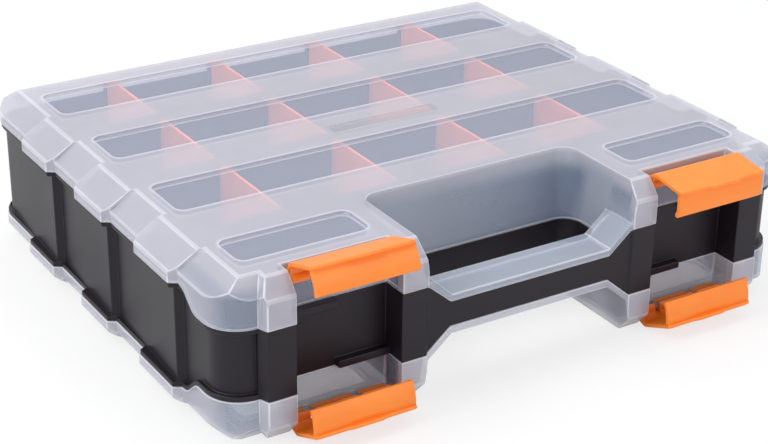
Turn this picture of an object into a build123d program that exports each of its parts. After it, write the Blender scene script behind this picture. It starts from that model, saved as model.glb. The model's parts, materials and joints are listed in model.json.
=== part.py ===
"""Double-sided sorting box: a black tray body with compartments on both faces, a clear
hinged lid over each face, two clip-on latches on each lid, and loose dividers.

Frame: millimetres, +Z up.  The box lies flat on its lower lid.  The origin is on the
resting face, in the middle of the lid outline; +X runs to the right along the front,
and the handle and the latches are at the front, towards -Y.
"""

import math
import os

from build123d import *

os.makedirs("parts", exist_ok=True)

# Overall form of a lid
half_height = 39.5          # mid-plane of the body to the flat face of a lid
half_width = 156.3          # lid skirt between the raised side bands
half_depth = 132.0          # front of the towers, and the back of the lid
front_step = 5.0            # front of the lid beside the towers, behind the front of the towers
corner_radius = 17.0
knee_drop = 8.5             # below the flat face, where the skirt turns into a slope
side_slope = 13.1           # run of the slope on the sides
front_slope = 7.7           # run of the slope at the front and back
lid_wall = 1.7

# Raised bands down both sides of a lid, one at each row wall
band_reach = 3.7            # how far a band stands out of the skirt
band_slope = 14.1
band_ends = ((-14.5, 16.2), (-14.1, 16.2), (-18.2, 15.6))   # from the middle of the row wall
cheek_run = 2.4             # how far a band's ends slant along the side

# Latch towers, the recess in each, and the handle between them
tower_setback = 17.8        # side of a tower, in from the skirt
tower_slant = 1.9
tower_lean = 4.9
tower_cheek = 16.0          # outer side of a tower to its recess
recess_width = 52.3
recess_depth = 14.0
inner_cheek = 14.2          # recess to the handle
bar_setback = 1.0

# Parting levels, the side and front ones measured down from the flat face
side_drop = 13.9
front_drop = 22.4
bar_level = 6.2             # above the mid-plane
drop_setback = 30.0         # where the parting line reaches the front level, from the front
drop_run = 10.0
drop_radius = 8.0
bar_rise_inset = 11.8       # level stretch of the handle, in from the towers
bar_rise_over = 1.0

# Handle: finger slot and the pocket above and below it
slot_setback = 20.5
slot_width = 25.5
slot_end = 1.5              # end of the slot, in from the towers
slot_radius = 9.0
bar_cover = 3.8             # height of the clear cover above the black bar
pocket_flare = 4.5
pocket_back_flare = 10.0
pocket_radius = 8.0

# Windows, the thin clear panes sunk in a lid's face
window_inset = 19.9
window_ends = ((-14.9, 14.5), (-13.0, 16.0), (-15.1, 15.9))  # from the middle of the row
small_window_side = 1.8
small_window_setback = 24.5
small_window_width = 21.6
window_sink = 1.0
window_radius = 4.5
label_length = 62.0
label_width = 8.0
label_shift = -0.7          # from the middle of the row wall it lies over
label_sink = 0.5

# Body
body_wall = 2.0
web = 2.0                   # floor shared by the upper and lower trays
lid_gap = 0.4               # between the inside of a lid and the rim and walls of the body
rim_height = 1.6
flange_thickness = 2.4
flange_inset = 0.5
wall_inset = 2.6            # side wall behind the lid's outline
tooth_depth = 3.4           # how far each stretch of side wall leans out to its front end
row_wall = 1.6
front_bay = 65.3            # front of the towers to the front row of compartments
row_count = 3
end_wall_shift = 6.6        # wall beside the handle, in from the recess
step_gap = 0.6              # beside the lid's gussets, where the body rises to the towers
bar_rib_inset = 7.2

# Dividers
column_count = 5
column_margin = 2.3         # outer end of the pitch, in from the skirt
divider_wall = 1.6
divider_gap = 0.25
divider_head = 0.6          # divider to the underside of a window
guide_reach = 1.6
guide_wall = 1.5
guide_drop = 3.2            # top of a guide, below the top of its divider
divider_corner = 3.5

# Latches
pivot_setback = 9.5
pivot_drop = 5.5            # rod below the flat face
rod_radius = 1.6
clip_gap = 0.15
clip_radius = 3.4
clip_sides = 8
bore_sides = 12             # clips and hooks grip their rods on flats
web_centres = (-14.9, 9.1)  # webs that hold the rod, from the middle of the recess
web_width = 2.0
web_thickness = 2.4
web_room = 0.5
plate_gap = 0.75
plate_wall = 1.8
plate_back = 3.0
plate_top = 5.0
plate_front = 23.0
plate_drop = 0.7
lip = 2.4
lip_extra = 1.6
lip_corner = 5.0
leg_inset = 1.8
leg_wall = 1.6
leg_length = 13.1
bead = 1.3
opening_angle = 100.0       # mouth of the clip
latch_rest = {"top_left": 23.8, "top_right": -2.4, "bottom_left": -17.0, "bottom_right": -16.0}

# Catch pads on the body, one for each latch
pad_reach = 3.8
pad_gap = 0.8               # between a pad and the leg of its closed latch

# Lid hinges at the back
hinge_inset = 71.3
hinge_setout = 1.7
hinge_drop = 5.6            # hinge rod below the parting level
hinge_rod = 1.8
hook_gap = 0.15
hook_radius = 3.4
hook_sides = 8
hook_width = 17.0
ear_wall = 2.6
ear_gap = 0.5
hook_mouth = 80.0

# Places that follow from the sizes above
mid = half_height
reach = 10 * half_height    # longer than the whole box, for cutting solids
knee = half_height - knee_drop
band_width = half_width + band_reach
corner_front = half_depth - front_step
tower_foot = half_width - tower_setback
tower_front = tower_foot - tower_slant
tower_top = tower_foot - tower_lean
recess_outer = tower_foot - tower_cheek
recess_inner = recess_outer - recess_width
recess_middle = (recess_inner + recess_outer) / 2
recess_back = half_depth - recess_depth
bar_half = recess_inner - inner_cheek
bar_flat_half = bar_half - bar_rise_inset
bar_rise_half = bar_half + bar_rise_over
bar_rib_x = bar_flat_half - bar_rib_inset
side_level = half_height - side_drop
front_level = half_height - front_drop
drop_front = half_depth - drop_setback
drop_back = drop_front - drop_run
slot_half = bar_half - slot_end
slot_front = half_depth - slot_setback
slot_back = slot_front - slot_width
end_wall_x = recess_inner - end_wall_shift
window_half = half_width - window_inset
row_front = front_bay - half_depth
row_back = half_depth - wall_inset - body_wall
row_depth = (row_back - row_front - (row_count - 1) * row_wall) / row_count
row_pitch = row_depth + row_wall
divider_pitch = 2 * (half_width - column_margin) / column_count
divider_length = row_depth - 2 * divider_gap
divider_height = half_height - web / 2 - lid_wall - window_sink - divider_head
guide_height = web / 2 + divider_height - guide_drop
pivot_y = pivot_setback - half_depth
pivot_z = half_height - pivot_drop
plate_half = recess_width / 2 - plate_gap
leg_half = plate_half - leg_inset
pad_low = pivot_z - plate_front + leg_wall + pad_gap
pad_length = recess_width / 2 - clip_gap
hinge_x = half_width - hinge_inset
hinge_y = half_depth + hinge_setout
hinge_z = side_level - hinge_drop


def row_span(index):
    """Front and back of a row of compartments, counted from the back."""
    back = row_back - index * row_pitch
    return back - row_depth, back


def row_line(index):
    """Middle of the wall in front of a row."""
    return row_span(index)[0] - row_wall / 2


divider_middles = [(n - column_count / 2) * divider_pitch for n in range(1, column_count)]
band_spans = [(row_line(n) + front, row_line(n) + back) for n, (front, back) in enumerate(band_ends)]
window_spans = [
    (sum(row_span(n)) / 2 + front, sum(row_span(n)) / 2 + back) for n, (front, back) in enumerate(window_ends)
]


def slanted(run, rise, width, low):
    """Closed outline with upright sides up to the knee and slopes up to the flat face."""
    return [
        (-width, low),
        (width, low),
        (width, mid + knee),
        (width - run, mid + rise),
        (-width + run, mid + rise),
        (-width, mid + knee),
    ]


def outline(inset, bands=True):
    """Plan of a lid without its latch recesses: rounded body, two towers and the side bands."""
    with BuildSketch() as plan:
        with Locations((0, (half_depth - corner_front) / 2)):
            RectangleRounded(2 * half_width, half_depth + corner_front, corner_radius)
        with BuildLine():
            Polyline(
                (-tower_foot, 0),
                (-tower_foot, -corner_front),
                (-tower_front, -half_depth),
                (-bar_half - bar_setback, -half_depth),
                (-bar_half, -half_depth + bar_setback),
                (bar_half, -half_depth + bar_setback),
                (bar_half + bar_setback, -half_depth),
                (tower_front, -half_depth),
                (tower_foot, -corner_front),
                (tower_foot, 0),
                close=True,
            )
        make_face()
        if bands:
            for front, back in band_spans:
                for side in (-1, 1):
                    with BuildLine():
                        Polyline(
                            (side * (half_width - body_wall), front - cheek_run),
                            (side * half_width, front - cheek_run),
                            (side * band_width, front),
                            (side * band_width, back),
                            (side * half_width, back + cheek_run),
                            (side * (half_width - body_wall), back + cheek_run),
                            close=True,
                        )
                    make_face()
        if inset:
            offset(amount=-inset, kind=Kind.INTERSECTION)
    return plan.sketch


def recesses(grow):
    """Plan of the two latch recesses."""
    with BuildSketch() as plan:
        with Locations((-recess_middle, -half_depth), (recess_middle, -half_depth)):
            Rectangle(recess_width + 2 * grow, 2 * (recess_depth + grow))
    return plan.sketch


def lid_plan(inset, bands=True):
    """Plan of a lid with its latch recesses, drawn in by an even inset."""
    with BuildSketch() as plan:
        add(outline(inset, bands))
        add(recesses(inset), mode=Mode.SUBTRACT)
    return plan.sketch


def wall_plan(inset, towers=True):
    """Plan of the body's outer wall with its shingled sides, drawn in by an even inset."""
    edge = half_width - wall_inset - inset
    with BuildSketch() as flush:
        add(outline(flange_inset + inset, bands=False))
        with Locations((0, -half_depth)):
            Rectangle(2 * tower_foot, 2 * recess_depth, mode=Mode.INTERSECT)
    with BuildSketch() as plan:
        add(outline(wall_inset + inset, bands=False))
        start = half_depth - corner_radius
        for front, back in band_spans:
            for side in (-1, 1):
                with BuildLine():
                    Polyline(
                        (side * (edge - body_wall), start),
                        (side * edge, start),
                        (side * (edge + tooth_depth), front),
                        (side * edge, front - cheek_run),
                        (side * (edge - body_wall), front - cheek_run),
                        close=True,
                    )
                make_face()
            start = front - cheek_run
        if towers:
            add(flush.sketch)
        add(recesses(inset), mode=Mode.SUBTRACT)
    return plan.sketch


def slot_plan(grow):
    """Rounded outline of the finger slot."""
    with BuildSketch() as plan:
        with Locations((0, -(slot_back + slot_front) / 2)):
            RectangleRounded(2 * (slot_half + grow), slot_width + 2 * grow, slot_radius + grow)
    return plan.sketch


def slot_wall_plan():
    """Outer outline of the wall round the finger slot, with flats across its corners."""
    with BuildSketch() as plan:
        with Locations((0, -(slot_back + slot_front) / 2)):
            Rectangle(2 * (slot_half + body_wall), slot_width + 2 * body_wall)
        chamfer(plan.vertices(), length=(slot_radius + body_wall) * (2 - math.sqrt(2)))
    return plan.sketch


def pocket(grow):
    """Hollow above the handle: finger slot, sloping walls and the gussets at both ends."""
    floor = mid + bar_level + bar_cover - grow
    gusset_slope = (front_level - bar_level) / (bar_rise_half - bar_flat_half)
    gusset_drop = grow * math.sqrt(1 + gusset_slope ** 2) - grow
    far = 2 * half_depth
    with BuildPart() as gussets:
        for side in (-1, 1):
            with BuildSketch(Plane.XZ.offset(slot_front + grow)):
                with BuildLine():
                    Polyline(
                        (side * bar_flat_half, floor - gusset_drop),
                        (side * (bar_flat_half + half_height), floor - gusset_drop),
                        (side * (bar_flat_half + half_height), floor - gusset_drop + gusset_slope * half_height),
                        close=True,
                    )
                make_face()
            extrude(amount=reach)
    with BuildPart() as hollow:
        with BuildSketch(Plane.XY.offset(floor)):
            with Locations((0, -(slot_back - grow + far) / 2)):
                RectangleRounded(2 * (slot_half + grow), far - slot_back + grow, slot_radius + grow)
        with BuildSketch(Plane.XY.offset(mid + half_height + window_sink)):
            with Locations((0, -(slot_back - pocket_back_flare - grow + far) / 2)):
                RectangleRounded(
                    2 * (slot_half + pocket_flare + grow),
                    far - slot_back + pocket_back_flare + grow,
                    pocket_radius + grow,
                )
        loft()
        add(gussets.part, mode=Mode.SUBTRACT)
        with BuildSketch(Plane.XY.offset(mid)):
            add(slot_plan(grow))
        extrude(amount=bar_level + bar_cover)
    return hollow.part


def windows(grow):
    """Plan of the panes: round corners outside, square ones on the underside of the lid."""
    small_front = small_window_setback - half_depth
    panes = [(-window_half, window_half, front, back) for front, back in window_spans]
    small_inner = recess_inner + small_window_side
    for left, right in ((-window_half, -small_inner), (small_inner, window_half)):
        panes.append((left, right, small_front, small_front + small_window_width))
    with BuildSketch() as plan:
        for left, right, front, back in panes:
            with Locations(((left + right) / 2, (front + back) / 2)):
                if grow:
                    Rectangle(right - left + 2 * grow, back - front + 2 * grow)
                else:
                    RectangleRounded(right - left, back - front, window_radius)
    return plan.sketch


def lid_form(inset):
    """The lid as a filled form, from the mid-plane up, drawn in by an even inset."""
    low = mid - half_height
    with BuildPart() as main:
        with BuildSketch(Plane.XY.offset(mid)):
            add(lid_plan(inset, bands=False))
        extrude(amount=half_height)
        with BuildSketch(Plane.XZ):
            with BuildLine():
                Polyline(*slanted(side_slope, half_height, half_width, low), close=True)
            make_face()
            offset(amount=-inset, kind=Kind.INTERSECTION)
        extrude(amount=reach, both=True, mode=Mode.INTERSECT)
        with BuildSketch(Plane.YZ):
            with BuildLine():
                Polyline(
                    (-half_depth, low),
                    (half_depth, low),
                    (half_depth, mid + knee),
                    (half_depth - front_slope, mid + half_height),
                    (-half_depth + front_slope, mid + half_height),
                    (-half_depth, mid + knee),
                    close=True,
                )
            make_face()
            offset(amount=-inset, kind=Kind.INTERSECTION)
        extrude(amount=reach, both=True, mode=Mode.INTERSECT)
    with BuildPart() as corners:
        for side in (-1, 1):
            with BuildSketch(Plane.XZ.offset(recess_back)):
                with BuildLine():
                    Polyline(
                        (side * (tower_foot - inset), mid),
                        (side * (tower_foot - inset), mid + knee),
                        (side * (tower_top - inset), mid + half_height),
                        (side * (tower_top - inset), mid + 2 * half_height),
                        (side * reach, mid + 2 * half_height),
                        (side * reach, mid),
                        close=True,
                    )
                make_face()
            extrude(amount=reach)
        with BuildSketch(Plane.YZ):
            with BuildLine():
                Polyline(
                    (-corner_front + inset, mid),
                    (-corner_front + inset, mid + knee),
                    (-corner_front + front_slope + inset, mid + half_height),
                    (-corner_front + front_slope + inset, mid + 2 * half_height),
                    (-reach, mid + 2 * half_height),
                    (-reach, mid),
                    close=True,
                )
            make_face()
        extrude(amount=reach, both=True, mode=Mode.INTERSECT)
    with BuildPart() as bands:
        with BuildSketch(Plane.XY.offset(mid)):
            add(lid_plan(inset))
        extrude(amount=half_height)
        with BuildSketch(Plane.XZ):
            with BuildLine():
                Polyline(*slanted(band_slope, half_height, band_width, low), close=True)
            make_face()
            offset(amount=-inset, kind=Kind.INTERSECTION)
        extrude(amount=reach, both=True, mode=Mode.INTERSECT)
        with BuildSketch(Plane.XY.offset(mid)):
            for front, back in band_spans:
                with Locations((0, (front + back) / 2)):
                    Rectangle(3 * half_width, back - front + 2 * cheek_run)
        extrude(amount=half_height, mode=Mode.INTERSECT)
    with BuildPart() as form:
        add(main.part)
        add(corners.part, mode=Mode.SUBTRACT)
        add(bands.part)
        add(pocket(inset), mode=Mode.SUBTRACT)
        with BuildSketch(Plane.XY.offset(mid + half_height - inset - window_sink)):
            add(windows(inset))
        extrude(amount=half_height, mode=Mode.SUBTRACT)
    return form.part


def below_parting(lift, step=0.0):
    """Everything under the line where a lid meets the body, raised by a lift.

    A step moves the rise of the handle's ends forward, clear of the lid's gussets.
    """
    with BuildPart() as under:
        with BuildSketch(Plane.YZ):
            with BuildLine():
                FilletPolyline(
                    (-reach, mid + front_level + lift),
                    (-drop_front, mid + front_level + lift),
                    (-drop_back, mid + side_level + lift),
                    (reach, mid + side_level + lift),
                    radius=drop_radius,
                )
                Polyline(
                    (reach, mid + side_level + lift),
                    (reach, mid),
                    (-reach, mid),
                    (-reach, mid + front_level + lift),
                )
            make_face()
        extrude(amount=reach, both=True)
        with BuildSketch(Plane.XZ.offset(slot_front)):
            with BuildLine():
                Polyline(
                    (-bar_flat_half, mid + bar_level + lift),
                    (bar_flat_half, mid + bar_level + lift),
                    (bar_rise_half, mid + front_level + lift),
                    (-bar_rise_half, mid + front_level + lift),
                    close=True,
                )
            make_face()
        extrude(amount=reach, mode=Mode.SUBTRACT)
        with BuildSketch(Plane.XY.offset(mid + bar_level + lift)):
            with Locations((0, -(slot_front + step - row_front + row_wall) / 2)):
                Rectangle(2 * end_wall_x - row_wall, slot_front + step + row_front - row_wall)
        extrude(amount=half_height, mode=Mode.SUBTRACT)
    return under.part


def latch_rod():
    """Rods and webs for the two latches, across the recesses of an upper lid."""
    with BuildPart() as rods:
        for side in (-1, 1):
            middle = side * recess_middle
            with BuildSketch(Plane.YZ.offset(middle - recess_width / 2 - lid_wall / 2)):
                with Locations((pivot_y, mid + pivot_z)):
                    Circle(rod_radius)
            extrude(amount=recess_width + lid_wall)
            for centre in web_centres:
                with BuildSketch(Plane.YZ.offset(middle + centre - web_width / 2)):
                    with Locations(((pivot_y - recess_back - lid_wall / 2) / 2, mid + pivot_z)):
                        Rectangle(-pivot_y - recess_back + lid_wall / 2, web_thickness)
                extrude(amount=web_width)
    return rods.part


def hinge_hooks():
    """C-shaped hooks on the back of an upper lid, which snap on the body's hinge rods."""
    with BuildPart() as hooks:
        for side in (-1, 1):
            with BuildSketch(Plane.YZ.offset(side * hinge_x - hook_width / 2)):
                with Locations((hinge_y, mid + hinge_z)):
                    RegularPolygon(hook_radius, hook_sides, major_radius=False, rotation=180 / hook_sides)
                arm_back = half_depth - lid_wall
                arm_height = side_level - hinge_z + lid_wall
                with Locations(((arm_back + half_depth) / 2, mid + hinge_z + arm_height / 2)):
                    Rectangle(half_depth - arm_back, arm_height)
                with Locations((hinge_y, mid + hinge_z)):
                    RegularPolygon(hinge_rod + hook_gap, bore_sides, major_radius=False, mode=Mode.SUBTRACT)
                mouth = hook_radius * 1.5
                half_mouth = math.radians(hook_mouth / 2)
                with BuildLine():
                    Polyline(
                        (hinge_y, mid + hinge_z),
                        (hinge_y - mouth * math.sin(half_mouth), mid + hinge_z - mouth * math.cos(half_mouth)),
                        (hinge_y + mouth * math.sin(half_mouth), mid + hinge_z - mouth * math.cos(half_mouth)),
                        close=True,
                    )
                make_face(mode=Mode.SUBTRACT)
            extrude(amount=hook_width)
    return hooks.part


def whole_lid():
    """A lid as it lies on the upper face, without the label plate."""
    with BuildPart() as shell:
        add(lid_form(0))
        add(lid_form(lid_wall), mode=Mode.SUBTRACT)
        add(below_parting(0), mode=Mode.SUBTRACT)
        add(latch_rod())
        add(hinge_hooks())
    return shell.part


upper_lid = whole_lid()

with BuildPart() as top_lid:
    add(upper_lid)
    with BuildSketch(Plane.XY.offset(mid + half_height - label_sink)):
        with Locations((0, row_line(1) + label_shift)):
            Rectangle(label_length, label_width)
    extrude(amount=label_sink, mode=Mode.SUBTRACT)
top_lid.part.label = "top_lid"
export_step(top_lid.part, "parts/top_lid.step")

with BuildPart() as bottom_lid:
    add(mirror(upper_lid, about=Plane.XY.offset(mid)))
bottom_lid.part.label = "bottom_lid"
export_step(bottom_lid.part, "parts/bottom_lid.step")


def partitions():
    """Inner walls of an upper tray and the guides for its dividers, clear of the lid."""
    with BuildPart() as walls:
        with BuildSketch(Plane.XY.offset(mid)):
            for index in range(row_count):
                with Locations((0, row_line(index))):
                    Rectangle(2 * band_width, row_wall)
            for side in (-1, 1):
                with Locations((side * end_wall_x, (row_front - recess_back) / 2)):
                    Rectangle(row_wall, row_front + recess_back)
                with Locations((side * (end_wall_x + recess_inner) / 2, -recess_back + body_wall / 2)):
                    Rectangle(recess_inner - end_wall_x + row_wall, body_wall)
            add(wall_plan(body_wall / 2), mode=Mode.INTERSECT)
        extrude(amount=half_height)
        with BuildSketch(Plane.XY.offset(mid)):
            near = divider_wall / 2 + divider_gap
            for index in range(row_count):
                front, back = row_span(index)
                for middle in divider_middles:
                    for side in (-1, 1):
                        for end, tip in ((front, front + guide_reach), (back, back - guide_reach)):
                            with BuildLine():
                                Polyline(
                                    (middle + side * near, end),
                                    (middle + side * near, tip),
                                    (middle + side * (near + guide_wall), end),
                                    close=True,
                                )
                            make_face()
        extrude(amount=guide_height)
        add(room.part, mode=Mode.INTERSECT)
    return walls.part


def handle_walls():
    """Walls round the finger slot and ribs in the handle, clipped where the lid comes down."""
    with BuildPart() as walls:
        with BuildSketch(Plane.XY.offset(mid)):
            add(slot_wall_plan())
            front = slot_front + step_gap
            with Locations((0, -front - body_wall / 2)):
                Rectangle(2 * end_wall_x + row_wall, body_wall)
            for x in (-bar_rib_x, 0, bar_rib_x):
                with Locations((x, -(front + half_depth - body_wall) / 2)):
                    Rectangle(row_wall, half_depth - body_wall - front)
        extrude(amount=half_height)
        add(below_parting(0, step_gap), mode=Mode.INTERSECT)
    return walls.part


def half_body():
    """The upper half of the body, from its mid-plane up."""
    with BuildPart() as flange:
        with BuildSketch(Plane.XY.offset(mid)):
            add(outline(flange_inset))
            add(recesses(0), mode=Mode.SUBTRACT)
        extrude(amount=side_level)
        add(below_parting(-flange_thickness), mode=Mode.SUBTRACT)
        with BuildSketch(Plane.XY.offset(mid)):
            for side in (-1, 1):
                with Locations((side * hinge_x, half_depth)):
                    Rectangle(hook_width + 2 * ear_gap + 2 * ear_wall, 2 * (lid_wall + lid_gap))
        extrude(amount=half_height, mode=Mode.SUBTRACT)
    with BuildPart() as rim:
        add(room.part)
        add(below_parting(rim_height, step_gap), mode=Mode.INTERSECT)
        add(below_parting(-flange_thickness), mode=Mode.SUBTRACT)
    with BuildPart() as half:
        with BuildSketch(Plane.XY.offset(mid)):
            add(wall_plan(0))
        extrude(amount=side_level)
        add(flange.part)
        add(below_parting(0, step_gap), mode=Mode.INTERSECT)
        add(rim.part)
        with BuildSketch(Plane.XY.offset(mid + web / 2)):
            add(wall_plan(body_wall, towers=False))
        extrude(amount=half_height, mode=Mode.SUBTRACT)
        add(partitions())
        add(handle_walls())
        with BuildSketch(Plane.XY.offset(mid)):
            add(slot_plan(0))
        extrude(amount=half_height, mode=Mode.SUBTRACT)
        for side in (-1, 1):
            ear = hook_width / 2 + ear_gap
            ear_flat = hook_radius * math.tan(math.pi / hook_sides)
            for edge in (-ear - ear_wall, ear):
                with BuildSketch(Plane.YZ.offset(side * hinge_x + edge)):
                    with BuildLine():
                        foot = half_depth - wall_inset - body_wall / 2
                        Polyline(
                            (foot, mid),
                            (hinge_y, mid),
                            (hinge_y, mid + hinge_z - hook_radius),
                            (hinge_y + ear_flat, mid + hinge_z - hook_radius),
                            (hinge_y + hook_radius, mid + hinge_z - ear_flat),
                            (hinge_y + hook_radius, mid + hinge_z + ear_flat),
                            (hinge_y + ear_flat, mid + hinge_z + hook_radius),
                            (foot, mid + hinge_z + hook_radius),
                            close=True,
                        )
                    make_face()
                extrude(amount=ear_wall)
            with BuildSketch(Plane.YZ.offset(side * hinge_x - ear - ear_wall / 2)):
                with Locations((hinge_y, mid + hinge_z)):
                    Circle(hinge_rod)
            extrude(amount=2 * ear + ear_wall)
    return half.part


def catch_pads(middle):
    """Pads that the hooks of the upper latches catch under, at a distance from the middle."""
    with BuildPart() as pads:
        with BuildSketch(Plane.XY.offset(mid + pad_low)):
            for side in (-1, 1):
                with Locations((side * middle, -recess_back - pad_reach / 2)):
                    Rectangle(pad_length, pad_reach)
        extrude(amount=front_level - pad_low)
    return pads.part


with BuildPart() as room:
    add(lid_form(lid_wall + lid_gap))

upper_half = half_body()

with BuildPart() as body:
    add(upper_half)
    add(mirror(upper_half, about=Plane.XY.offset(mid)))
    add(catch_pads(recess_outer - pad_length / 2))
    add(mirror(catch_pads(recess_inner + pad_length / 2), about=Plane.XY.offset(mid)))
body.part.label = "body"
export_step(body.part, "parts/body.step")


def latch_form():
    """A latch round its pivot, with its leg hanging straight down in front."""
    tilt = math.atan2(plate_drop, plate_front - plate_back)
    plate_plane = Plane(
        origin=(0, -plate_back, plate_top), x_dir=(1, 0, 0), z_dir=(0, -math.sin(tilt), math.cos(tilt))
    )
    run = plate_front - plate_back
    third = plate_half / 3
    leg_top = plate_top - plate_drop - plate_wall / 2
    edges = [-plate_half + web_room]
    for centre in web_centres:
        edges += [centre - web_width / 2 - web_room, centre + web_width / 2 + web_room]
    edges.append(plate_half - web_room)
    with BuildPart() as latch:
        with BuildSketch(plate_plane):
            with BuildLine():
                Polyline(
                    (-plate_half, 0),
                    (-plate_half, -run - lip + lip_corner),
                    (-plate_half + lip_corner, -run - lip),
                    (-third - lip_extra, -run - lip),
                    (-third, -run - lip - lip_extra),
                    (third, -run - lip - lip_extra),
                    (third + lip_extra, -run - lip),
                    (plate_half - lip_corner, -run - lip),
                    (plate_half, -run - lip + lip_corner),
                    (plate_half, 0),
                    close=True,
                )
            make_face()
        extrude(amount=-plate_wall)
        with BuildSketch(Plane.YZ.offset(-leg_half)):
            with BuildLine():
                low = leg_top - leg_length
                Polyline(
                    (-plate_front, leg_top),
                    (-plate_front, low),
                    (-plate_front + leg_wall + bead, low),
                    (-plate_front + leg_wall + bead, low + bead),
                    (-plate_front + leg_wall, low + 2 * bead),
                    (-plate_front + leg_wall, leg_top),
                    close=True,
                )
            make_face()
        extrude(amount=2 * leg_half)
        for start, end in zip(edges[0::2], edges[1::2]):
            with BuildSketch(Plane.YZ.offset(start)):
                RegularPolygon(clip_radius, clip_sides, major_radius=False, rotation=180 / clip_sides)
                with BuildLine():
                    Polyline(
                        (0, clip_radius),
                        (-plate_back, plate_top),
                        (-2 * plate_back, plate_top - plate_wall / 2),
                        (-2 * plate_back, plate_top - 1.5 * plate_wall),
                        (-clip_radius, 0),
                        (0, 0),
                        close=True,
                    )
                make_face()
                RegularPolygon(rod_radius + clip_gap, bore_sides, major_radius=False, mode=Mode.SUBTRACT)
                half_mouth = math.radians(opening_angle / 2)
                with BuildLine():
                    Polyline(
                        (0, 0),
                        (2 * clip_radius * math.sin(half_mouth), -2 * clip_radius * math.cos(half_mouth)),
                        (-2 * clip_radius * math.sin(half_mouth), -2 * clip_radius * math.cos(half_mouth)),
                        close=True,
                    )
                make_face(mode=Mode.SUBTRACT)
            extrude(amount=end - start)
    return latch.part


latch_shape = latch_form()
for name, angle in latch_rest.items():
    side = -1 if name.endswith("left") else 1
    with BuildPart() as latch:
        with Locations(Location((side * recess_middle, pivot_y, mid + pivot_z), (-angle, 0, 0))):
            add(latch_shape)
    fitted = latch.part
    if name.startswith("bottom"):
        fitted = mirror(latch.part, about=Plane.XY.offset(mid))
    fitted.label = "latch_" + name
    export_step(fitted, "parts/latch_" + name + ".step")

with BuildPart() as upper_divider:
    with BuildSketch(Plane.YZ.offset(-divider_wall / 2)):
        with BuildLine():
            foot = mid + web / 2
            Polyline(
                (-divider_length / 2, foot),
                (divider_length / 2, foot),
                (divider_length / 2, foot + divider_height - divider_corner),
                (divider_length / 2 - divider_corner, foot + divider_height),
                (-divider_length / 2 + divider_corner, foot + divider_height),
                (-divider_length / 2, foot + divider_height - divider_corner),
                close=True,
            )
        make_face()
    extrude(amount=divider_wall)

lower_divider = mirror(upper_divider.part, about=Plane.XY.offset(mid))
for face, shape in (("top", upper_divider.part), ("bottom", lower_divider)):
    for index, row in enumerate(("back", "middle", "front")):
        for number, middle in enumerate(divider_middles, start=1):
            with BuildPart() as divider:
                with Locations((middle, sum(row_span(index)) / 2)):
                    add(shape)
            divider.part.label = "divider_" + face + "_" + row + "_" + str(number)
            export_step(divider.part, "parts/" + divider.part.label + ".step")
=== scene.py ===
# %% [markdown]
# # Sorting box with clear lids
# The real object is a flat organizer: a black tray body with compartments on both faces,
# a frosted clear lid over each face, four orange latches and loose orange dividers.  The
# solids come from the CAD model.  This script gives them their looks: softened moulded
# edges, plastic finishes, humped latches, a floor, lamps and a camera.

import json
import math

import bmesh
import bpy
import numpy as np
from mathutils import Matrix, Vector


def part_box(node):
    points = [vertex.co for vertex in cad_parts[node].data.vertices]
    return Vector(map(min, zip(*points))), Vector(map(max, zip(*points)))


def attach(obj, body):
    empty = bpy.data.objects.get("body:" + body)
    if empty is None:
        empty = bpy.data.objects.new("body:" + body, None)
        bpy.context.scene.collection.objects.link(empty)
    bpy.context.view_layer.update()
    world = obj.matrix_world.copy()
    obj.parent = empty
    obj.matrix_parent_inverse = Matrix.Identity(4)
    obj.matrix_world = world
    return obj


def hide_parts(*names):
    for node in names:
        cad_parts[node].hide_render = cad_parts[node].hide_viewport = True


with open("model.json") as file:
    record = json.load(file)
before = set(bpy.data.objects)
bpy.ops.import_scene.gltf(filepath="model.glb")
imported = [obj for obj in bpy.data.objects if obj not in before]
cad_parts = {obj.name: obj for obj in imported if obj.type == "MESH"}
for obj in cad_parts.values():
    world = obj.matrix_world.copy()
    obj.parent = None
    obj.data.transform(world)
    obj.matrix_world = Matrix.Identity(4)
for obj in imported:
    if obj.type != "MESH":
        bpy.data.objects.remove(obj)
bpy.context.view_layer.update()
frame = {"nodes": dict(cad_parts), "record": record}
scene = bpy.context.scene
low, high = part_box("body")
MIDDLE = (low.z + high.z) / 2
print("both faces mirror each other about z =", round(MIDDLE, 4))

# %% [markdown]
# ## Shader maths
# A procedural material is a small formula over the surface.  Writing it with Blender's
# nodes by hand is long, so one class wraps a socket and lets Python's operators add the
# Math nodes.  Everything else comes from one method that adds any node by its type.


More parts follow.
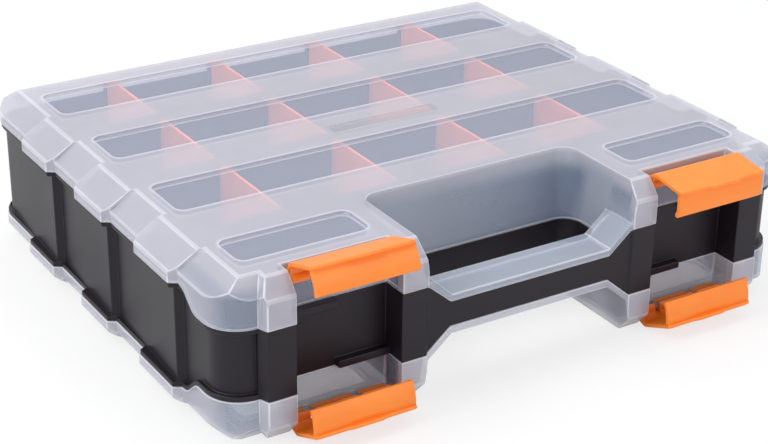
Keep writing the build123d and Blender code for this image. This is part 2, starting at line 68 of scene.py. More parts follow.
# %% Socket maths
class Socket:
    """A node output inside a material, with the arithmetic that shader formulas need."""

    def __init__(self, tree, output):
        self.tree = tree
        self.output = output

    def node(self, kind, settings=None, **inputs):
        """Adds a node of any type: its settings first, then the values or links of its inputs.

        An input goes by its name, with _ for a space, or by its number, as in n0 and n1.
        What comes back is the node's first output.
        """
        made = self.tree.nodes.new(kind)
        for key, value in (settings or {}).items():
            setattr(made, key, value)
        for key, value in inputs.items():
            socket = made.inputs[int(key[1:]) if key[1:].isdigit() else key.replace("_", " ")]
            if isinstance(value, Socket):
                self.tree.links.new(value.output, socket)
            else:
                socket.default_value = value
        return Socket(self.tree, made.outputs[0]) if len(made.outputs) else None

    def other(self, name):
        """Another output of the node that this one belongs to."""
        return Socket(self.tree, self.output.node.outputs[name])

    def math(self, operation, a, b=None, clamp=False):
        """A Math node on one or two values."""
        settings = {"operation": operation, "use_clamp": clamp}
        return self.node("ShaderNodeMath", settings, n0=a, **({} if b is None else {"n1": b}))

    def __add__(self, other):
        return self.math("ADD", self, other)

    __radd__ = __add__

    def __sub__(self, other):
        return self.math("SUBTRACT", self, other)

    def __rsub__(self, other):
        return self.math("SUBTRACT", other, self)

    def __mul__(self, other):
        return self.math("MULTIPLY", self, other)

    __rmul__ = __mul__

    def __truediv__(self, other):
        return self.math("DIVIDE", self, other)

    def __abs__(self):
        return self.math("ABSOLUTE", self)

    def most(self, other):
        return self.math("MAXIMUM", self, other)

    def least(self, other):
        return self.math("MINIMUM", self, other)

    def power(self, other):
        return self.math("POWER", self, other)

    def below(self, edge, soft):
        """1 where the value is under the edge, 0 above it, with a soft step between."""
        return self.math("ADD", (edge - self) / soft, 0.5, clamp=True)


# %% Materials from sockets
# The sockets of a Mix node that mixes colours: mask, first and second colour, result.
MIX_MASK, MIX_FIRST, MIX_SECOND, MIX_RESULT = 0, 6, 7, 2


def new_material(name):
    """An empty node material; returns it with a starting socket on Object coordinates."""
    made = bpy.data.materials.new(name)
    made.use_nodes = True
    made.node_tree.nodes.clear()
    texture = made.node_tree.nodes.new("ShaderNodeTexCoord")
    return made, Socket(made.node_tree, texture.outputs["Object"])


def close_material(place, shader):
    """Joins the finished shader to the material's output."""
    place.node("ShaderNodeOutputMaterial", Surface=shader)


def mixed(place, mask, first, second):
    """Colour first where the mask is 0 and second where it is 1."""
    mix = place.tree.nodes.new("ShaderNodeMix")
    mix.data_type = "RGBA"
    for index, value in ((MIX_MASK, mask), (MIX_FIRST, first), (MIX_SECOND, second)):
        if isinstance(value, Socket):
            place.tree.links.new(value.output, mix.inputs[index])
        else:
            mix.inputs[index].default_value = value
    return Socket(place.tree, mix.outputs[MIX_RESULT])


# %% [markdown]
# ## Black body
# The body is injection-moulded polypropylene with a fine satin grain.  It could be one
# flat dark colour, but the real surface catches the light unevenly: a fine grain breaks
# the highlight, and long faint flow marks change the gloss.  Both come from noise on
# Object coordinates, at the grain's real size.  The orange plastic is made in the same
# way, so one function makes both.

# %% Noise and bump
BUMP_DEPTH = 0.0002


def noise(place, scale, detail):
    """Noise from 0 to 1 on Object coordinates; scale is how often it changes in a metre."""
    settings = {"noise_dimensions": "3D"}
    return place.node("ShaderNodeTexNoise", settings, Vector=place, Scale=scale, Detail=detail)


def bumped(place, height, strength):
    """Direction of the surface as if a pattern of small heights stood on it."""
    return place.node("ShaderNodeBump", Strength=strength, Distance=BUMP_DEPTH, Height=height)


# %% Moulded plastic
def moulded(name, colours, flow_marks, grain, bump, roughness, **constants):
    """Opaque plastic: flow marks change its colour and gloss, and a grain its surface.

    flow_marks and grain are the scale and detail of their noise.  roughness is its least
    value and what the flow marks add.
    """
    made, place = new_material(name)
    flow = noise(place, *flow_marks)
    least, added = roughness
    shader = place.node(
        "ShaderNodeBsdfPrincipled",
        Base_Color=mixed(place, flow, *colours),
        Roughness=least + added * flow,
        Normal=bumped(place, noise(place, *grain), bump),
        **constants,
    )
    close_material(place, shader)
    print(name, "has", len(made.node_tree.nodes), "nodes")
    return made


body_black = moulded(
    "body_black",
    colours=((0.008, 0.0055, 0.009, 1), (0.015, 0.0115, 0.0165, 1)),
    flow_marks=(18.0, 3.0),
    grain=(2600.0, 2.0),
    bump=0.10,
    roughness=(0.34, 0.18),
    Specular_IOR_Level=0.29,
)

# %% [markdown]
# ## Frosted lid with clear windows
# A lid is one clear moulding, but only its sunk windows are polished.  The rest is
# frosted: it looks milky and hides most of what is under it.  A true refracting material
# would be slow and noisy, so the milkiness is an opacity: high where the lid is frosted
# and low in the windows.  A mask of rounded rectangles, worked out from the same sizes
# as the windows, tells them apart.

# %% Windows and label place, in metres
WINDOW_HALF = 0.1364  # half a row's length across the lid
WINDOW_ROWS = ((0.0807, 0.1101), (0.0173, 0.0463), (-0.0500, -0.0190))  # front and back edge
SMALL_WINDOW = (0.0720, 0.1364, -0.1075, -0.0859)  # inner, outer, front and back edge
WINDOW_RADIUS = 0.0045
LABEL = ((0.0, -0.0030), (0.0310, 0.0040), 0.0003)  # centre, half its size, radius


def rounded_window(across, along, centre, half, radius):
    """Distance to a rounded rectangle, below 0 inside it.

    It is how far a point lies past a rectangle that is smaller by the radius, less the
    radius.
    """
    dx = (abs(across - centre[0]) - (half[0] - radius)).most(0.0)
    dy = (abs(along - centre[1]) - (half[1] - radius)).most(0.0)
    return (dx * dx + dy * dy).power(0.5) - radius


def window_distance(x, y):
    """Distance to the nearest window, seen from above; inside it is negative."""
    nearest = None
    for front, back in WINDOW_ROWS:
        half = (WINDOW_HALF, (back - front) / 2)
        one = rounded_window(x, y, (0.0, (front + back) / 2), half, WINDOW_RADIUS)
        nearest = one if nearest is None else nearest.least(one)
    inner, outer, front, back = SMALL_WINDOW
    centre = ((inner + outer) / 2, (front + back) / 2)
    half = ((outer - inner) / 2, (back - front) / 2)
    return nearest.least(rounded_window(abs(x), y, centre, half, WINDOW_RADIUS))


print(len(WINDOW_ROWS), "rows of windows,", round(2000 * WINDOW_HALF, 1), "mm long")

# %% [markdown]
# The walls beside and behind the handle are painted bluer and darker than the flat face:
# this is painted shade, for the lesser light behind them.  So three more masks find where
# that shade is painted: the upright front walls, the pocket behind the handle and the
# pocket's far end.  Painted highlights ring the windows and the label place.  The sunk
# label place is a little clearer than the face around it, and has a mask too.  Each mask is
# made of soft steps, and a step is a place and a width.

# %% Places on the lid, in metres
FACE_FOOT = (0.0352, 0.0006)  # height from MIDDLE where the flat face and its windows begin
WINDOW_EDGE = (0.0003, 0.0004)  # distances from a window
RIM_EDGE = (0.0016, 0.0014)
NEAR_WINDOW = (0.0030, 0.0010)
LABEL_EDGE = (0.0005, 0.0004)  # distances from the label place
LABEL_RIM = (0.0016, 0.0008)
FRONT_TOP = (0.0335, 0.0050)  # the front walls: height, back, front and side
FRONT_BACK = (-0.0890, 0.0040)
FRONT_FRONT = (-0.1275, 0.0008)
FRONT_SIDE = (0.1540, 0.0070)
BAR_SIDE = (0.0600, 0.0010)  # side of the cover over the handle bar
BAY_SIDE = (0.0570, 0.0010)  # the pocket: side, wider side, where that begins, back and top
BAY_WIDER = (0.0650, 0.0010)
BAY_STEP = (-0.1130, 0.0010)
POCKET_BACK = (-0.0735, 0.0010)
POCKET_TOP = (0.0350, 0.0080)
FAR_FRONT = (-0.0920, 0.0080)  # the pocket's far end: front, side and top
FAR_SIDE = (0.0100, 0.0900)
FAR_TOP = (0.0310, 0.0060)
UPPER_LID = (MIDDLE, 0.0010)
# the painted edge highlight is full on crisp edges, and weaker on the knee, the flat face and
# beside windows
CRISP_TOP = (0.0374, 0.0010)  # edges below this height are crisp, apart from the knee
KNEE = 0.0310
KNEE_HALF = (0.0022, 0.0010)
DULL_EDGE = 0.60  # brightness of an edge that isn't crisp
WINDOW_LOSS = 0.75  # share of an edge's brightness that is lost beside a window
print("the pocket is", round(2000 * BAY_SIDE[0]), "to", round(2000 * BAY_WIDER[0]), "mm wide")


# %% Lid masks
def lid_masks(place):
    """Masks from 0 to 1, by name: the windows and the label place, the walls with painted shade,
    and the painted highlights on edges and rims.
    """
    across = place.node("ShaderNodeSeparateXYZ", Vector=place)
    x, y, z = (across.other(axis) for axis in "XYZ")
    level = abs(z - MIDDLE)
    face = 1 - level.below(*FACE_FOOT)
    lower = z.below(*UPPER_LID)
    distance = window_distance(x, y)
    inside = distance.below(*WINDOW_EDGE)
    label = rounded_window(x, y, *LABEL)
    sunk = label.below(*LABEL_EDGE) * face
    # front, pocket and far find the walls where shade is painted into the lid's colour
    front = level.below(*FRONT_TOP) * y.below(*FRONT_BACK) * (1 - y.below(*FRONT_FRONT))
    front = front * abs(x).below(*FRONT_SIDE) * (1 - abs(x).below(*BAR_SIDE) * lower)
    bay = abs(x).below(*BAY_SIDE).most(abs(x).below(*BAY_WIDER) * (1 - y.below(*BAY_STEP)))
    pocket = bay * y.below(*POCKET_BACK) * level.below(*POCKET_TOP) * (1 - lower)
    far = pocket * (1 - y.below(*FAR_FRONT)) * (1 - x.below(*FAR_SIDE)) * level.below(*FAR_TOP)
    # how strong the painted highlight is on each edge
    crisp = level.below(*CRISP_TOP) * (1 - abs(level - KNEE).below(*KNEE_HALF))
    crisp = DULL_EDGE + (1 - DULL_EDGE) * crisp
    crisp = crisp * (1 - WINDOW_LOSS * distance.below(*NEAR_WINDOW) * face)
    # rim, and the label's rim in crisp, are where a painted highlight rings the windows and the
    # label place
    return {
        "window": inside * face,
        "rim": distance.below(*RIM_EDGE) * (1 - inside) * face,
        "label": sunk,
        "front": front,
        "pocket": pocket,
        "far": far,
        "crisp": crisp.most(label.below(*LABEL_RIM) * (1 - sunk) * face),
    }


# %% [markdown]
# The edges of a clear moulding look whiter than its faces, because light that travels
# inside the wall comes out there.  So the rounded edges get a painted highlight, in a
# material of their own: the same plastic, but brighter and less clear where the real edge is
# crisp.  The wide rounds along the knee and round the flat face, and the edges of the
# windows, stay closer to their neighbours.  A softer painted highlight rings the windows.

# %% Colours and opacities of the lids
MILK = (0.59, 0.585, 0.66, 1)
# painted shade: the front walls, the pocket and its far end are painted darker and bluer
FRONT_SHADE = (0.40, 0.45, 0.56, 1)
POCKET_SHADE = (0.53, 0.58, 0.68, 1)
FAR_SHADE = (0.28, 0.34, 0.47, 1)
# painted highlight: the whiter colour of the lid's edges and of the rims round its windows
EDGE_HIGHLIGHT = (0.80, 0.80, 0.86, 1)
WINDOW_TINT = (0.66, 0.70, 0.86, 1)
FROST = 0.46  # opacity of the frosted walls, and what changes it
CLOUD_FROST = 0.10
RIM_FROST = 0.10
EDGE_FROST = 0.16
WALL_CLEARING = 0.12
WINDOW_OPACITY = 0.26
LIGHT_THROUGH = 0.8  # share of the opacity that lamp light doesn't meet
# how strongly a painted highlight rings the windows
RIM_HIGHLIGHT = 0.5
FROSTED_ROUGHNESS = 0.42
WINDOW_POLISH = 0.17  # how much less rough the windows are
CLOUDS = (30.0, 3.0)  # scale and detail of noise
FROSTING = (1800.0, 1.0)
FROSTING_BUMP = 0.06
print("opacity", FROST, "where frosted,", WINDOW_OPACITY, "in the windows")


# %% Frosted clear plastic
def clear_plastic(name, edge):
    """Finish of the lids, with painted shade and painted highlights; edge is how strong the painted
    highlight on their crisp edges is, from 0 to 1.
    """
    made, place = new_material(name)
    mask = lid_masks(place)
    # bright is the painted highlight on the edges, and rim a painted highlight round the windows
    window, rim, bright = mask["window"], mask["rim"], mask["crisp"] * edge
    cleared = mask["front"].most(mask["pocket"]).most(mask["label"])
    frost = FROST + CLOUD_FROST * noise(place, *CLOUDS) + RIM_FROST * rim
    frost = frost - WALL_CLEARING * cleared + EDGE_FROST * bright
    opacity = frost * (1 - window) + WINDOW_OPACITY * window
    light = place.node("ShaderNodeLightPath").other("Is Shadow Ray")
    # painted shade on the front walls, in the pocket and at its far end
    colour = mixed(place, mask["front"], MILK, FRONT_SHADE)
    colour = mixed(place, mask["pocket"], colour, POCKET_SHADE)
    colour = mixed(place, mask["far"], colour, FAR_SHADE)
    # painted highlight: edges and window rims are mixed towards white
    colour = mixed(place, (RIM_HIGHLIGHT * rim).most(bright), colour, EDGE_HIGHLIGHT)
    shader = place.node(
        "ShaderNodeBsdfPrincipled",
        Base_Color=mixed(place, window, colour, WINDOW_TINT),
        Roughness=FROSTED_ROUGHNESS - WINDOW_POLISH * window,
        Alpha=opacity * (1 - LIGHT_THROUGH * light),
        Normal=bumped(place, noise(place, *FROSTING), FROSTING_BUMP),
    )
    close_material(place, shader)
    print(name, "has", len(made.node_tree.nodes), "nodes")
    return made


# Two finishes: the plain lid, and the same plastic with the painted highlight for the rounded edges
lid_clear = clear_plastic("lid_clear", 0.0)
lid_edge_highlight = clear_plastic("lid_edge_highlight", 1.0)

# %% [markdown]
# ## Orange latches and dividers
# Both are satin orange mouldings, made as the body is.  The latches see the light
# directly, the dividers only through the lids, so the dividers are a little duller, and
# their colour is paler: painted light, for the light that reaches them through the lids.

# %% Orange plastics
latch_orange = moulded(
    "latch_orange",
    colours=((1.0, 0.27, 0.020, 1), (0.97, 0.22, 0.012, 1)),
    flow_marks=(60.0, 2.0),
    grain=(1500.0, 1.0),
    bump=0.04,
    roughness=(0.36, 0.10),
)
# the dividers' paler colour is painted light
divider_orange = moulded(
    "divider_orange",
    colours=((1.0, 0.26, 0.09, 1), (0.96, 0.22, 0.07, 1)),
    flow_marks=(60.0, 2.0),
    grain=(1500.0, 1.0),
    bump=0.04,
    roughness=(0.40, 0.10),
)

# %% [markdown]
# ## Soft moulded edges
# Nothing moulded has a knife edge: every edge of the real box is rounded, and those
# rounds catch the light as thin bright lines.  A CAD mesh is loose triangles with sharp
# edges.  A Bevel modifier can round them, but only on a closed skin, so a copy of the
# node is merged first, and its flat neighbours are joined into whole faces.  The width
# is set edge by edge: an edge with little room beside it gets a small round, because a
# wider one would cross itself.

# %% Closed skin
MERGE_DISTANCE = 1e-4
THIN = 1e-5
FLAT = math.radians(1)


def closed_skin(node):
    """Closed copy of a CAD mesh: doubled corners are merged and flat neighbours joined."""
    skin = bmesh.new()
    skin.from_mesh(node.data)
    bmesh.ops.remove_doubles(skin, verts=skin.verts, dist=MERGE_DISTANCE)
    bmesh.ops.dissolve_degenerate(skin, edges=skin.edges, dist=THIN)
    bmesh.ops.dissolve_limit(skin, angle_limit=FLAT, verts=skin.verts, edges=skin.edges)
    return skin


# %% Room for a round
SHARP = math.radians(25)
ROOM_SHARE = 0.42


def is_sharp(edge):
    """Whether the two faces of an edge meet at an angle that shows."""
    return edge.calc_face_angle(0.0) > SHARP


def gap(point, edge):
    """Distance from a point to the nearest place of an edge."""
    start, end = (corner.co for corner in edge.verts)
    part = (point - start).dot(end - start) / (end - start).length_squared
    return (point - start.lerp(end, min(max(part, 0.0), 1.0))).length


def room(edge):
    """Space beside an edge: how short its neighbours are, and how near the other corners
    and edges of its two faces come.

    Where a face turns a corner sharper than a right angle, a round reaches further along
    its neighbour, so there the neighbour's length counts times the tangent of half the
    angle.
    """
    meets = [near for corner in edge.verts for near in corner.link_edges if is_sharp(near)]
    space = min(near.calc_length() for near in meets)
    for face in edge.link_faces:
        for other in face.edges:
            if other is edge:
                continue
            ends = [corner for corner in other.verts if corner not in edge.verts]
            space = min([space] + [gap(corner.co, edge) for corner in ends])
            if len(ends) == 2:
                space = min(space, *(gap(corner.co, other) for corner in edge.verts))
    for loop in edge.link_loops:
        for corner in (loop, loop.link_loop_next):
            turn = math.tan(min(corner.calc_angle(), math.pi / 2) / 2)
            near = corner.link_loop_prev.edge if corner is loop else corner.edge
            space = min(space, near.calc_length() * turn, edge.calc_length() * turn)
    return space


# %% Rounds
ROUND_STEPS = 3


def soften(name, body, finish, wanted, edge_highlight_material=None):
    """Replaces a CAD node with a skin that has rounded edges.

    wanted(edge) gives an edge's round in metres, or 0 for an edge that stays sharp.  The
    round that it gets is the smaller of that and a share of the room beside it.
    """
    skin = closed_skin(frame["nodes"][name])
    weight = skin.edges.layers.float.new("bevel_weight_edge")
    sharp = {edge for edge in skin.edges if is_sharp(edge) and wanted(edge)}
    rounds = {edge: min(wanted(edge), ROOM_SHARE * room(edge)) for edge in sharp}
    largest = max(rounds.values())
    for edge in skin.edges:
        edge[weight] = rounds.get(edge, 0.0) / largest
        edge.smooth = edge in rounds or not is_sharp(edge)
    mesh = bpy.data.meshes.new(name + "_skin")
    skin.to_mesh(mesh)
    skin.free()
    mesh.shade_smooth()
    mesh.materials.append(finish)
    piece = bpy.data.objects.new(name + "_skin", mesh)
    scene.collection.objects.link(piece)
    bevel = piece.modifiers.new("soft edges", "BEVEL")
    bevel.limit_method = "WEIGHT"
    bevel.width = largest
    bevel.segments = ROUND_STEPS
    bevel.use_clamp_overlap = False
    # on the lids the rounds take a material with a painted highlight
    if edge_highlight_material:
        mesh.materials.append(edge_highlight_material)
        bevel.material = 1
    even = piece.modifiers.new("flat faces", "WEIGHTED_NORMAL")
    even.keep_sharp = True
    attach(piece, body)
    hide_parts(name)
    return len(rounds)


# %% Round of each edge, in metres
FACE_ROUND = 0.0011
KNEE_ROUND = 0.0013
PLAIN_ROUND = 0.0005
DIVIDER_ROUND = 0.0003
SAME = 0.0003  # heights this close are the same
FLAT_FACE = 0.0385  # edges of the flat face lie above this height from MIDDLE
BAND_SIDE = 0.1400  # the side bands lie outside this
SLOPING = 0.0005
TRAY_SIDE, TRAY_FRONT, TRAY_BACK = 0.1525, -0.0680, 0.1285
TRAY_TOP = 0.0335  # below this height from MIDDLE an edge is deep in a tray


def lid_round(edge):
    """Wide rounds round the flat face and along the knee, narrow ones elsewhere.

    The inner edge where a side band ends stays sharp: the wall is thin there.
    """
    one, two = (corner.co for corner in edge.verts)
    sloping = abs(one.z - two.z) > SLOPING
    if min(abs(one.x), abs(two.x)) > BAND_SIDE and sloping and not edge.is_convex:
        return 0.0
    levels = [abs(corner.co.z - MIDDLE) for corner in edge.verts]
    if min(levels) > FLAT_FACE:
        return FACE_ROUND
    knee = abs(levels[0] - KNEE) < SAME and abs(levels[0] - levels[1]) < SAME
    return KNEE_ROUND if knee else PLAIN_ROUND


def body_round(edge):
    """Rounds outside, none deep in the trays, where short ribs leave no room for them."""
    inside = all(abs(corner.co.x) < TRAY_SIDE and corner.co.y > TRAY_FRONT for corner in edge.verts)
    deep = min(abs(corner.co.z - MIDDLE) for corner in edge.verts) < TRAY_TOP
    before_back = max(corner.co.y for corner in edge.verts) < TRAY_BACK
    return 0.0 if inside and deep and before_back else PLAIN_ROUND


def divider_round(edge):
    """One small round on every edge."""
    return DIVIDER_ROUND


# %% Dress each node
bodies = frame["record"]["behaviour"]["bodies"]
body_of = {node: body for body, nodes in bodies.items() for node in nodes}
slots = {part["node"]: part["material_slot"] for part in frame["record"]["subparts"]}
looks = {
    "body": (body_black, body_round, None),
    "lid": (lid_clear, lid_round, lid_edge_highlight),
    "divider": (divider_orange, divider_round, None),
}
dressed = 0
for name in frame["nodes"]:
    if slots[name] in looks:
        finish, wanted, edge_highlight_material = looks[slots[name]]
        dressed += soften(name, body_of[name], finish, wanted, edge_highlight_material)
print("rounded", dressed, "edges")

# %% [markdown]
# ## Latches
# A latch is one orange moulding.  A plate stands over the lid, a leg hangs from the
# front of the plate, and three clips grip a rod at the back.  The real plate is humped:
# it rises steeply from the rod and then falls gently to a lip, and the leg bulges a
# little.  Such a form is a profile swept along the rod, so it is worked out as a grid:
# round the profile one way and along the rod the other.  The lip is longer in its middle
# third, which only changes where the front points of the profile are.

# %% Latch sizes, in millimetres
LATCH_MIDDLE = 96.35  # from the box's middle to a latch's
LATCH_PIVOT = (-122.5, 34.0)  # the rod: its y, and its height from the mid-plane
LATCH_HALF = 25.4
LATCH_REST = {"top_left": 23.8, "top_right": -2.4, "bottom_left": -17.0, "bottom_right": -16.0}
CLIPS = ((-24.9, -16.4), (-13.4, 7.6), (10.6, 24.9))  # from the latch's middle
CLIP_INNER, CLIP_OUTER = 1.75, 3.4  # radii
CLIP_FROM, CLIP_TO, CLIP_POINTS = -40, 220, 22  # angles where the C starts and ends
WEB_START, WEB_END = 7, 12  # points of the C between which the web stands
LIP = 23.9  # from the rod to the lip, and how that changes along the latch
LIP_THIRD, THIRD_STEP = 1.2, 1.2
LIP_CORNER, CORNER_LENGTH = 0.7, 2.6
END_ROUND = 0.3
PLATE_STRETCHES, CLIP_STRETCHES = 36, 2
CREASE = math.radians(50)  # a sharper turn than this keeps a hard edge


# %% Rounded outline
def rounded(corners, cuts, steps=5):
    """Outline with its corners rounded.

    Each corner is replaced by a short curve that starts and ends a given length away
    from it along its two sides.  A point of the curve is (1-t)^2 times the start, plus
    2t(1-t) times the corner, plus t^2 times the end.
    """
    corners = np.asarray(corners, float)
    cuts = np.asarray(cuts, float)[:, None]
    before = np.roll(corners, 1, axis=0) - corners
    after = np.roll(corners, -1, axis=0) - corners
    start = corners + before / np.linalg.norm(before, axis=1, keepdims=True) * cuts
    end = corners + after / np.linalg.norm(after, axis=1, keepdims=True) * cuts
    t = np.linspace(0, 1, steps)[None, :, None]
    curve = (1 - t) ** 2 * start[:, None] + 2 * t * (1 - t) * corners[:, None] + t**2 * end[:, None]
    return curve.reshape(-1, 2)


def inward(outline, depth):
    """Outline moved inwards by a depth, along the normal at each of its points."""
    run = np.roll(outline, -1, axis=0) - np.roll(outline, 1, axis=0)
    run /= np.linalg.norm(run, axis=1, keepdims=True)
    return outline + depth * np.stack((-run[:, 1], run[:, 0]), axis=1)


# %% Swept solid
def swept(outline_at, first, last, stretches):
    """Points and faces of a profile carried from first to last along the rod.

    outline_at(x) is the profile at x, anticlockwise.  Near both ends the profile shrinks
    as a quarter circle does: at a distance e from the end it lies
    r - sqrt(r^2 - (r - e)^2) inside the full one.
    """
    edge = END_ROUND * (1 - np.cos(np.radians((0, 30, 60, 90))))
    inside = np.linspace(first + END_ROUND, last - END_ROUND, stretches + 1)[1:-1]
    stations = np.concatenate((first + edge, inside, (last - edge)[::-1]))
    from_end = np.minimum(stations - first, last - stations)
    lacking = np.maximum(END_ROUND - from_end, 0)
    depths = END_ROUND - np.sqrt(END_ROUND**2 - lacking**2)
    rings = np.array([inward(outline_at(x), depth) for x, depth in zip(stations, depths)])
    count = rings.shape[1]
    along = np.broadcast_to(stations[:, None, None], (len(stations), count, 1))
    points = np.concatenate((along, rings), axis=2).reshape(-1, 3)
    u, v = np.meshgrid(np.arange(count), np.arange(len(stations) - 1))
    near = (v * count + u).ravel()
    beside = (v * count + (u + 1) % count).ravel()
    sides = np.stack((near, beside, beside + count, near + count), axis=1).tolist()
    ends = [list(range(count))[::-1], list(range(len(points) - count, len(points)))]
    return points, sides + ends


# %% Plate and leg
def plate_outline(x):
    """Profile of the plate and its leg at x, as (distance in front of the rod, height).

    It goes along the underside to the leg, down the leg's back and up its front, round
    the lip and back over the hump.  cuts says how far each corner's curve reaches.
    """
    middle = np.clip((LATCH_HALF / 3 + THIRD_STEP / 2 - abs(x)) / THIRD_STEP, 0, 1)
    corner = np.clip((abs(x) - LATCH_HALF + CORNER_LENGTH) / CORNER_LENGTH, 0, 1)
    lip = LIP + LIP_THIRD * middle - LIP_CORNER * corner**2
    underside = ((0.9, 2.3), (4.6, 5.3), (21.2, 3.6))
    leg_back = ((21.6, 0.0), (22.0, -4.6), (21.0, -6.5), (21.2, -7.9))
    leg_front = ((23.1, -7.9), (23.8, -3.0), (23.4, 1.2), (22.6, 3.45))
    top = ((lip, 3.6), (lip, 5.2), (4.4, 7.2), (-0.1, 3.7))
    cuts = (0.7, 1.2, 0.5, 1.0, 0.9, 0.6, 0.7, 0.7, 1.8, 1.0, 0.2, 0.7, 0.7, 1.6, 0.7)
    return rounded(underside + leg_back + leg_front + top, cuts)


def clip_outline(x):
    """Profile of a clip, the same at every x: a C round the rod, open below, with a web
    up into the plate."""
    angles = np.radians(np.linspace(CLIP_FROM, CLIP_TO, CLIP_POINTS))
    circle = np.stack((np.cos(angles), np.sin(angles)), axis=1)
    web = np.array(((4.2, 4.6), (4.3, 6.2), (0.3, 3.9)))
    outer, inner = CLIP_OUTER * circle, CLIP_INNER * circle[::-1]
    return np.concatenate((outer[:WEB_START], web, outer[WEB_END:], inner))


print("a latch's profile has", len(plate_outline(0.0)), "points")


# %% Latch meshes
def latch_piece(name, finish):
    """One latch: its plate, leg and clips, turned to its rest angle about the rod.

    A point in front of the rod by f and above it by h goes to f cos a - h sin a in front
    of it and h cos a + f sin a above it.
    """
    parts = [swept(plate_outline, -LATCH_HALF, LATCH_HALF, PLATE_STRETCHES)]
    parts += [swept(clip_outline, first, last, CLIP_STRETCHES) for first, last in CLIPS]
    offsets = np.cumsum([0] + [len(points) for points, _ in parts])
    points = np.concatenate([points for points, _ in parts])
    faces = [
        [int(i + offset) for i in face]
        for (_, some), offset in zip(parts, offsets)
        for face in some
    ]
    angle = math.radians(LATCH_REST[name])
    x, front, height = points.T
    side = -1 if name.endswith("left") else 1
    face = 1 if name.startswith("top") else -1
    y = LATCH_PIVOT[0] - front * math.cos(angle) + height * math.sin(angle)
    z = face * (LATCH_PIVOT[1] + height * math.cos(angle) + front * math.sin(angle))
    placed = np.stack((x + side * LATCH_MIDDLE, y, z + MIDDLE * 1000), axis=1) / 1000
    mesh = bpy.data.meshes.new("latch_" + name + "_moulding")
    mesh.from_pydata(placed.tolist(), [], faces)
    skin = bmesh.new()
    skin.from_mesh(mesh)
    bmesh.ops.recalc_face_normals(skin, faces=skin.faces)
    skin.to_mesh(mesh)
    skin.free()
    mesh.shade_smooth()
    mesh.set_sharp_from_angle(angle=CREASE)
    mesh.materials.append(finish)
    piece = bpy.data.objects.new("latch_" + name + "_moulding", mesh)
    scene.collection.objects.link(piece)
    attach(piece, body_of["latch_" + name])
    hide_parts("latch_" + name)
    return piece


for name in LATCH_REST:
    piece = latch_piece(name, latch_orange)
    print(piece.name, len(piece.data.polygons), "faces")

# %% [markdown]
# ## Floor and light
# The photograph is a product shot on white.  A white floor that carries only a soft
# shadow, a white world for what the camera sees, and large soft lamps give the same
# light.  Light Path keeps the background white without adding light to the box.

# %% Floor
FLOOR_HALF = 4.0
FLOOR_DROP = 0.0005  # keeps the floor's face clear of the lid that lies on it
CORNERS = ((-1, -1), (1, -1), (1, 1), (-1, 1))

floor_mesh = bpy.data.meshes.new("floor")
corners = [(x * FLOOR_HALF, y * FLOOR_HALF, 0) for x, y in CORNERS]
floor_mesh.from_pydata(corners, [], [(0, 1, 2, 3)])
floor = bpy.data.objects.new("floor", floor_mesh)
scene.collection.objects.link(floor)
floor.location.z = -FLOOR_DROP

# %% Floor finish
WHITENESS = 0.72  # share of plain white that the camera sees on the floor
PAPER = (0.86, 0.86, 0.86, 1)
WHITE = (1, 1, 1, 1)

floor_white, place = new_material("floor_white")
matt = place.node(
    "ShaderNodeBsdfPrincipled",
    Base_Color=PAPER,
    Roughness=0.9 + 0.05 * noise(place, 3.0, 2.0),
)
white = place.node("ShaderNodeEmission", Color=WHITE, Strength=1.0)
sees = place.node("ShaderNodeLightPath").other("Is Camera Ray")
blend = place.node("ShaderNodeMixShader", n0=sees * WHITENESS, n1=matt, n2=white)
close_material(place, blend)
floor_mesh.materials.append(floor_white)
print("floor is", 2 * FLOOR_HALF, "m wide")

# %% World
ROOM_LIGHT = (0.93, 0.95, 1.0, 1)  # what lights the box, and its strength
ROOM_STRENGTH = 0.55

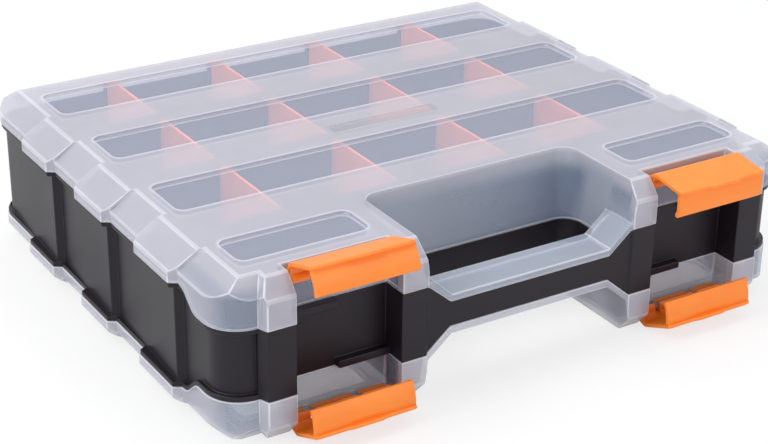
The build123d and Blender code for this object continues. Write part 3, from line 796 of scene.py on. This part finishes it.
world = bpy.data.worlds.new("studio")
scene.world = world
world.use_nodes = True
tree = world.node_tree
tree.nodes.clear()
camera_ray = Socket(tree, tree.nodes.new("ShaderNodeLightPath").outputs["Is Camera Ray"])
seen = camera_ray.most(camera_ray.other("Is Glossy Ray"))
seen = seen.most(camera_ray.other("Is Transmission Ray"))
soft = seen.node("ShaderNodeBackground", Color=ROOM_LIGHT, Strength=ROOM_STRENGTH)
bright = seen.node("ShaderNodeBackground", Color=WHITE, Strength=1.0)
both = seen.node("ShaderNodeMixShader", n0=seen, n1=soft, n2=bright)
seen.node("ShaderNodeOutputWorld", Surface=both)
print("world has", len(tree.nodes), "nodes")

# %% Lamps
LAMPS = {  # place, width and power
    "key": ((-1.3, 0.2, 1.5), 1.2, 22),
    "top": ((0.3, 0.4, 1.8), 1.6, 13),
    "front_fill": ((0.6, -1.8, 0.9), 1.2, 9.5),
}
LAMP_TARGET = Vector((0, 0, 0.03))


def lamp(name, place, size, power):
    """A square soft lamp at a place, turned to the box."""
    data = bpy.data.lights.new(name, "AREA")
    data.shape = "SQUARE"
    data.size = size
    data.energy = power
    made = bpy.data.objects.new(name, data)
    made.location = place
    made.rotation_euler = (LAMP_TARGET - Vector(place)).to_track_quat("-Z", "Y").to_euler()
    scene.collection.objects.link(made)


for name, (place, size, power) in LAMPS.items():
    lamp(name, place, size, power)
print(len(LAMPS), "lamps")

# %% [markdown]
# ## Camera
# The camera is the one that took the photograph, worked out from the box's own corners:
# a long lens, low on the left in front of the handle, with a slight roll.

# %% Camera
CAMERA = Vector((-0.4438, -0.7090, 0.3802 + 0.0395))
TARGET = Vector((-0.0199, -0.0355, 0.0395))
ROLL = math.radians(0.80)
FOCAL_PIXELS, PHOTO_WIDTH = 1801.2, 768
SENSOR = 36  # width of the camera's film in mm

view = (TARGET - CAMERA).normalized()
right = view.cross(Vector((0, 0, 1))).normalized()
upward = right.cross(view)
cam_x = math.cos(ROLL) * right + math.sin(ROLL) * upward
cam_y = -math.sin(ROLL) * right + math.cos(ROLL) * upward
camera_data = bpy.data.cameras.new("camera")
camera_data.lens = FOCAL_PIXELS / PHOTO_WIDTH * SENSOR
camera = bpy.data.objects.new("camera", camera_data)
scene.collection.objects.link(camera)
rotation = Matrix((cam_x, cam_y, -view)).transposed()
camera.matrix_world = Matrix.Translation(CAMERA) @ rotation.to_4x4()
scene.camera = camera
scene.view_settings.view_transform = "Standard"
print("lens", round(camera_data.lens, 1), "mm")
